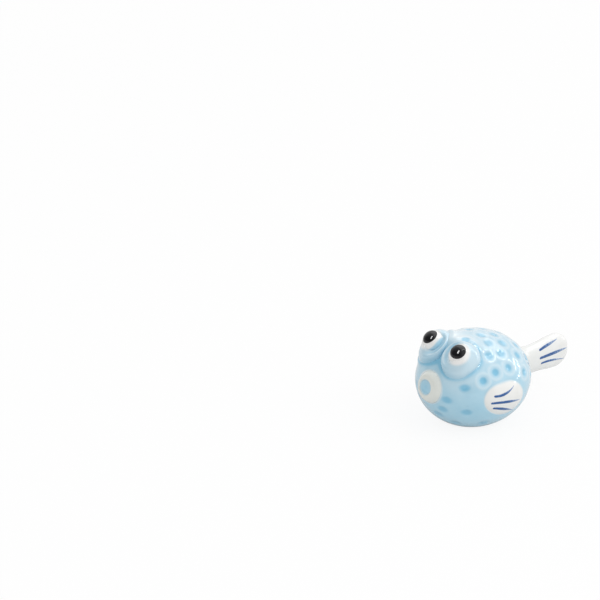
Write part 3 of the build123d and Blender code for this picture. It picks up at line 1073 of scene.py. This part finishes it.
# %% Ball
BALL = 3.7 * MM
BALL_BACK = 0.3 * MM
BALL_BOTTOM = 0.05 * MM
SHORE_SOFTNESS = 0.3 * MM
SHORE_DEPTH = 1.0 * MM
SHORE_POOL = 0.45
BALL_SHORE = {
    "left": [
        (-170, 1.6), (-150, 0.9), (-120, 0.2), (-90, -0.5),
        (100, -0.5), (125, 0.5), (150, 1.5), (170, 2.0),
    ],
    "right": [
        (-170, 2.0), (-150, 1.6), (-120, 1.3), (-90, 0.6), (-60, -0.5),
        (100, -0.5), (125, 0.6), (150, 1.6), (170, 2.1),
    ],
}
ball_frame = eye_frame @ Matrix.Translation((0, BALL_BACK, 0))

ball = start_from("left_ball", bpy.ops.mesh.primitive_uv_sphere_add, segments=96, ring_count=64, radius=BALL)
bpy.ops.object.mode_set(mode="EDIT")
bpy.ops.mesh.select_all(action="SELECT")
bpy.ops.mesh.bisect(plane_co=(0, 0, BALL_BOTTOM), plane_no=(0, 0, 1), clear_inner=True, use_fill=True)
bpy.ops.object.mode_set(mode="OBJECT")
ball_points = points_of(ball)
ball.data.transform(ball_frame)


def ball_glaze(piece, marks):
    """Blue up to a shore round the ball, and white above it."""
    height = ball_points[:, 2]
    shore = by_heading(np.arctan2(ball_points[:, 1], ball_points[:, 0]), marks) * MM
    blue = 1 - smooth_step(height, shore - SHORE_SOFTNESS, shore + SHORE_SOFTNESS)
    paint(piece, blue=blue, pool=SHORE_POOL * (1 - smooth_step(height, shore - SHORE_DEPTH, shore)))


print("Ball:", len(ball.data.polygons), "faces,", BALL / MM, "mm in radius")

# %% [markdown]
# The pupil is a drop of thick enamel that has flowed into a lens with a rounded edge. It is lathed on the
# ball's own axis, and then the three pieces of the left eye are mirrored for the right.

# %% Pupil, and both eyes
PUPIL_RADIUS = 2.5
PUPIL_DOME = 0.5
PUPIL_SHARES = (0, 0.3, 0.55, 0.75, 0.9, 0.975, 1)
PUPIL_FULLNESS = 0.6
PUPIL_UNDERSIDE = ((0.97, -0.2), (0.6, 0), (0, 0))
PUPIL_STATIONS = 91
PUPIL_STEPS = 96
edge_height = sqrt((BALL / MM) ** 2 - PUPIL_RADIUS**2)
dome_height = BALL / MM + PUPIL_DOME - edge_height


def dome(share):
    """A mark on the lens, by its share of the radius."""
    return share * PUPIL_RADIUS, edge_height + dome_height * (1 - share**2) ** PUPIL_FULLNESS


pupil_marks = [dome(share) for share in PUPIL_SHARES]
pupil_marks += [(share * PUPIL_RADIUS, edge_height + lift) for share, lift in PUPIL_UNDERSIDE]
pupil = lathe("left_pupil_lens", lathe_line(pupil_marks, PUPIL_STATIONS), PUPIL_STEPS)
pupil.data.transform(ball_frame)

for side in ("left", "right"):
    for piece, part, slot in (
        (turret, "eye_turret", "blue_glaze"),
        (ball, "eyeball", "white_glaze"),
        (pupil, "pupil", "black_enamel"),
    ):
        shown = piece if side == "left" else mirrored(piece, piece.name.replace("left", "right"))
        dress(shown, f"{side}_{part}", slot, sharp=60)
        if part == "eyeball":
            ball_glaze(shown, BALL_SHORE[side])
        if part == "pupil":
            pupils.objects.link(shown)

# %% [markdown]
# ## Mouth
# The mouth is a soft white ring on the snout with a blue disc in it. Both are lathed round the mouth's
# axis. The ring's outer edge runs out on the skin, and its white fades into the blue over a millimetre. The
# disc was pressed a little to one side, and the inner lip goes with it.

# %% Mouth
LIP_MARKS = [
    (2.0, -1.6), (2.06, 0.2), (2.2, 0.58), (2.5, 0.8), (3.0, 0.92), (3.55, 0.84), (4.05, 0.58),
    (4.45, 0.18), (4.8, -0.32), (5.05, -0.85), (5.1, -1.5), (3.6, -1.6), (2.0, -1.6),
]
DISC_RADIUS = 2.2
DISC_MARKS = [
    (0, 0.4), (0.7, 0.42), (1.4, 0.48), (1.9, 0.56), (2.15, 0.54),
    (DISC_RADIUS, 0.3), (2.15, -1.2), (1.2, -1.3), (0, -1.3),
]
MOUTH_SHIFT = np.array([-0.6, -0.2, 0]) * MM
SHIFT_SPAN = (2.4 * MM, 4.6 * MM)
INNER_LIP = (2.1 * MM, 2.8 * MM)
INNER_BLUE = 0.9
OUTER_LIP = 0.3 * MM
# Share of painted shade, a darker warm white, over the whole mouth ring
LIP_WARM_SHADE = 0.8
DISC_POOL = (0.42, 0.1)
LIP_STATIONS = 109
DISC_STATIONS = 73
MOUTH_STEPS = 128
lips = lathe("soft_lips", lathe_line(LIP_MARKS, LIP_STATIONS), MOUTH_STEPS)
disc = lathe("mouth_disc", lathe_line(DISC_MARKS, DISC_STATIONS), MOUTH_STEPS)


def place_on_snout(piece):
    """Shift a mouth piece and seat it on the snout, and give its radius and its height above the skin."""
    local = points_of(piece)
    radius = np.hypot(local[:, 0], local[:, 1])
    move_points(piece, local + MOUTH_SHIFT * (1 - smooth_step(radius, *SHIFT_SPAN))[:, None])
    piece.data.transform(mouth_frame)
    placed = seat(points_of(piece), SEAT_DEPTH)
    move_points(piece, placed)
    return radius, skin_height(placed)


radius, rise = place_on_snout(lips)
inner_blue = INNER_BLUE * (1 - smooth_step(radius, *INNER_LIP))
outer_blue = 1 - smooth_step(rise, 0, OUTER_LIP)
paint(lips, blue=np.maximum(inner_blue, outer_blue), warm=np.full(len(rise), LIP_WARM_SHADE))
radius, rise = place_on_snout(disc)
paint(disc, pool=np.interp(radius, (0, DISC_RADIUS * MM), DISC_POOL))
dress(lips, "mouth_lips", "white_glaze")
dress(disc, "mouth_centre", "blue_glaze")

# %% [markdown]
# ## Pectoral fins
# A fin is a low pad: the part of a flattened ball that stands out of the flank. Its underside is brought up
# to just below the skin, and its white fades where it runs out.

# %% Pectoral fins
FIN_DETAIL = 7
fin = start_from("left_fin_pad", bpy.ops.mesh.primitive_ico_sphere_add, subdivisions=FIN_DETAIL, radius=1)
placed = fin_centre + (points_of(fin) * fin_half) @ fin_turn.T
move_points(fin, seat(placed, SEAT_DEPTH))
paint(fin, blue=1 - fin_fade(points_of(fin)))
dress(fin, "left_pectoral_fin", "white_glaze")
dress(mirrored(fin, "right_fin_pad"), "right_pectoral_fin", "white_glaze")

# %% [markdown]
# ## Tail
# The tail is a thick paddle on a flared neck. A rounded section is drawn once at the root and extruded from
# station to station, with its height and thickness changed at each, and the end closes to a point. A
# subdivided box would need more care to keep its section even.

# %% Tail outline
TAIL_DROP = 1.1 * MM
TAIL_START = -5.7
TAIL_REACH = 21.0
TAIL_ROUNDING = 5.3
TAIL_TIP_ROUNDING = 2.3
SECTION_POWER = 2.7
OUTLINE_POINTS = 200
TAIL_SIDE = [(TAIL_START, 7.75), (-2.6, 6.2), (0.8, 5.1), (4.9, 4.62), (9.0, 4.9), (12.5, 5.45), (15.7, 5.7)]
TAIL_PLAN = [
    (TAIL_START, 5.0), (-2.5, 4.1), (0.5, 3.3), (4.0, 2.82), (9.0, 2.6), (15.7, 2.45), (TAIL_REACH, 2.3),
]
tail_root = np.array([0, HALF[1], CENTRE[2] - TAIL_DROP])
tail_side = through(TAIL_SIDE, OUTLINE_POINTS)
tail_plan = through(TAIL_PLAN, OUTLINE_POINTS)


def tail_section(reach):
    """Half thickness and half height of the tail, in mm, at a distance behind the egg's back end."""
    height = np.interp(reach, tail_side[:, 0], tail_side[:, 1])
    thickness = np.interp(reach, tail_plan[:, 0], tail_plan[:, 1])
    past = np.clip((reach - (TAIL_REACH - TAIL_ROUNDING)) / TAIL_ROUNDING, 0, 1)
    tip = np.clip((reach - (TAIL_REACH - TAIL_TIP_ROUNDING)) / TAIL_TIP_ROUNDING, 0, 1)
    return thickness * np.sqrt(1 - tip**2), height * np.sqrt(1 - past**2)


print("Tail half thickness and half height at the root in mm:", np.round(tail_section(0), 2))

# %% Tail
TAIL_SIDES = 96
PADDLE_STATIONS = 60
TIP_STATIONS = 40
TAIL_FILLET = 0.7 * MM
FILLET_REACH = 0.8 * MM
TAIL_BLUE = 0.85
TAIL_BLUE_REACH = 0.9 * MM
rounded_end = TAIL_REACH - TAIL_ROUNDING
stations = np.concatenate([
    np.linspace(TAIL_START, rounded_end, PADDLE_STATIONS),
    rounded_end + TAIL_ROUNDING * np.sin(np.linspace(0, pi / 2, TIP_STATIONS))[1:-1],
])

circle = {"vertices": TAIL_SIDES, "radius": 1, "fill_type": "NGON"}
tail = start_from("tail_paddle", bpy.ops.mesh.primitive_circle_add, **circle)
round_section = points_of(tail)[:, :2]
squared = np.sign(round_section) * np.abs(round_section) ** (2 / SECTION_POWER)
thick, high = tail_section(TAIL_START)
root = np.column_stack([squared[:, 0] * thick, np.full(TAIL_SIDES, TAIL_START), squared[:, 1] * high])
move_points(tail, tail_root + root * MM)
bpy.ops.object.mode_set(mode="EDIT")
bpy.ops.mesh.select_all(action="SELECT")
for before, after in zip(stations[:-1], stations[1:]):
    bpy.ops.mesh.extrude_region_move(TRANSFORM_OT_translate={"value": (0, (after - before) * MM, 0)})
    thick, high = np.array(tail_section(after)) / np.array(tail_section(before))
    middle = (0, tail_root[1] + after * MM, tail_root[2])
    bpy.ops.transform.resize(value=(thick, 1, high), center_override=middle)
bpy.ops.mesh.merge(type="CENTER")
bpy.ops.mesh.select_all(action="SELECT")
bpy.ops.mesh.normals_make_consistent(inside=False)
bpy.ops.object.mode_set(mode="OBJECT")

placed = points_of(tail)
across = (placed - tail_root) * [1, 0, 1]
across /= np.maximum(np.linalg.norm(across, axis=1, keepdims=True), TINY)
spread = TAIL_FILLET * np.exp(-np.maximum(skin_height(placed), 0) / FILLET_REACH)
placed = seat(placed + across * spread[:, None], SEAT_DEPTH)
move_points(tail, placed)
paint(tail, blue=TAIL_BLUE * (1 - smooth_step(skin_height(placed), 0, TAIL_BLUE_REACH)))
dress(tail, "tail_fin", "white_glaze", sharp=80)

# %% [markdown]
# ## Brush strokes
# A loaded brush is set down, drawn back and lifted: each stroke starts blunt and dense and ends thin and
# pale. A flat grid is laid along the stroke's line, pressed onto the fin or the tail, and given its
# thickness by Solidify. A painted texture would show the colour but not the raised enamel.

# %% Stroke tools
STROKE_LIFT = 0.07 * MM
STROKE_SINK = 0.14 * MM
STROKE_EDGE = 0.01 * MM
STROKE_BLUNT = 0.06
BLUNT_LEAST = 0.02
START_WIDTH = 0.8
LIFT_END = 1.08
LIFT_POWER = 0.55
LIFT_LEAST = 0.05
PROBE = 0.1 * MM


def tail_surface(points):
    """Points in side view moved out to the tail's left face."""
    thick, high = tail_section((points[:, 1] - tail_root[1]) / MM)
    share = np.clip(np.abs(points[:, 2] - tail_root[2]) / MM / np.maximum(high, TINY), 0, 1)
    face = thick * (1 - share**SECTION_POWER) ** (1 / SECTION_POWER) * MM
    return np.column_stack([face, points[:, 1], points[:, 2]])


def stroke_line(marks, share):
    """Points on the curve through a stroke's start, middle and tip, by share of its length."""
    start, middle, tip = marks
    t = share[:, None]
    return start * ((1 - t) * (1 - 2 * t)) + middle * (4 * t * (1 - t)) + tip * (t * (2 * t - 1))


def stroke_width(share, belly):
    """How far the brush spreads: blunt at the start, fullest at the belly, lifted at the tip."""
    rounded = np.sqrt(np.clip(1 - (1 - share / STROKE_BLUNT) ** 2, BLUNT_LEAST**2, 1))
    blunt = np.where(share < STROKE_BLUNT, rounded, 1)
    swell = np.where(share < belly, START_WIDTH + (1 - START_WIDTH) * smooth_step(share, 0, belly), 1)
    lifted = np.where(share > belly, (1 - smooth_step(share, belly, LIFT_END)) ** LIFT_POWER, 1)
    return blunt * swell * np.maximum(lifted, LIFT_LEAST)


def pressed(surface, flat):
    """Points of a side view laid on a surface, and the surface's outward direction there."""
    steps = ([0, 0], [PROBE, 0], [0, PROBE])
    placed, along, up = (surface(np.column_stack([np.zeros(len(flat)), flat + step])) for step in steps)
    normal = np.cross(along - placed, up - placed)
    return placed, normal / np.linalg.norm(normal, axis=1, keepdims=True)


# %% Brush stroke
STROKE_GRID = {"x_subdivisions": 72, "y_subdivisions": 16, "size": 2}
LINE_STEP = 0.01
TIP_PALER = 0.4
EDGE_PALER = 0.55
EDGE_FROM = 0.55


def brush_stroke(name, surface, marks, width, belly, fade):
    """A stroke through start, middle and tip, fullest at its share belly and paler past its share fade."""
    stroke = start_from(name, bpy.ops.mesh.primitive_grid_add, **STROKE_GRID)
    grid = points_of(stroke)
    along, aside = (grid[:, 0] + 1) / 2, grid[:, 1]
    ahead = stroke_line(marks, along + LINE_STEP) - stroke_line(marks, along - LINE_STEP)
    ahead /= np.linalg.norm(ahead, axis=1, keepdims=True)
    side = np.column_stack([-ahead[:, 1], ahead[:, 0]])
    half = width / 2 * stroke_width(along, belly)
    placed, normal = pressed(surface, stroke_line(marks, along) + side * (aside * half)[:, None])
    move_points(stroke, placed + normal * (STROKE_LIFT * (1 - aside**2) - STROKE_EDGE)[:, None])
    towards_tip = smooth_step(along, fade, 1)
    towards_edge = smooth_step(np.abs(aside), EDGE_FROM, 1)
    paint(stroke, ink=(1 - TIP_PALER * towards_tip) * (1 - EDGE_PALER * towards_edge))
    activate(stroke)
    thicken = stroke.modifiers.new("thickness", "SOLIDIFY")
    thicken.thickness = STROKE_SINK
    thicken.offset = -1
    bpy.ops.object.modifier_apply(modifier=thicken.name)
    return stroke


# %% Strokes on the fins and the tail
# Start, middle and tip in mm, along and up, from the fin's centre and from the tail's root,
# then the width in mm, and where along its length the stroke is fullest and starts to pale
FIN_STROKES = {
    "upper": ((-5.7, 2.05), (-1.94, 2.11), (2.0, 3.53), 1.05, 0.45, 0.35),
    "middle": ((-6.6, -0.23), (-1.94, -0.63), (4.7, -2.1), 1.1, 0.6, 0.45),
    "lower": ((-5.75, -2.1), (-1.85, -3.25), (3.2, -5.6), 1.1, 0.4, 0.4),
}
TAIL_STROKES = {
    "upper": ((7.2, 3.25), (10.7, 3.9), (15.4, 4.75), 1.05, 0.5, 0.1),
    "middle": ((7.2, 0.6), (12.6, 0.57), (19.5, 0.68), 1.35, 0.6, 0.35),
    "lower": ((7.9, -1.5), (12.3, -1.7), (18.6, -3.0), 1.0, 0.45, 0.2),
}
for kind, strokes, surface, origin in (
    ("fin", FIN_STROKES, fin_surface, fin_centre[1:]),
    ("tail", TAIL_STROKES, tail_surface, tail_root[1:]),
):
    for place, (start, middle, tip, width, belly, fade) in strokes.items():
        marks = [origin + np.array(mark) * MM for mark in (start, middle, tip)]
        left = brush_stroke(f"left_{kind}_brush_{place}", surface, marks, width * MM, belly, fade)
        right = mirrored(left, f"right_{kind}_brush_{place}")
        dress(left, f"left_{kind}_stroke_{place}", "cobalt_enamel", sharp=60)
        dress(right, f"right_{kind}_stroke_{place}", "cobalt_enamel", sharp=60)
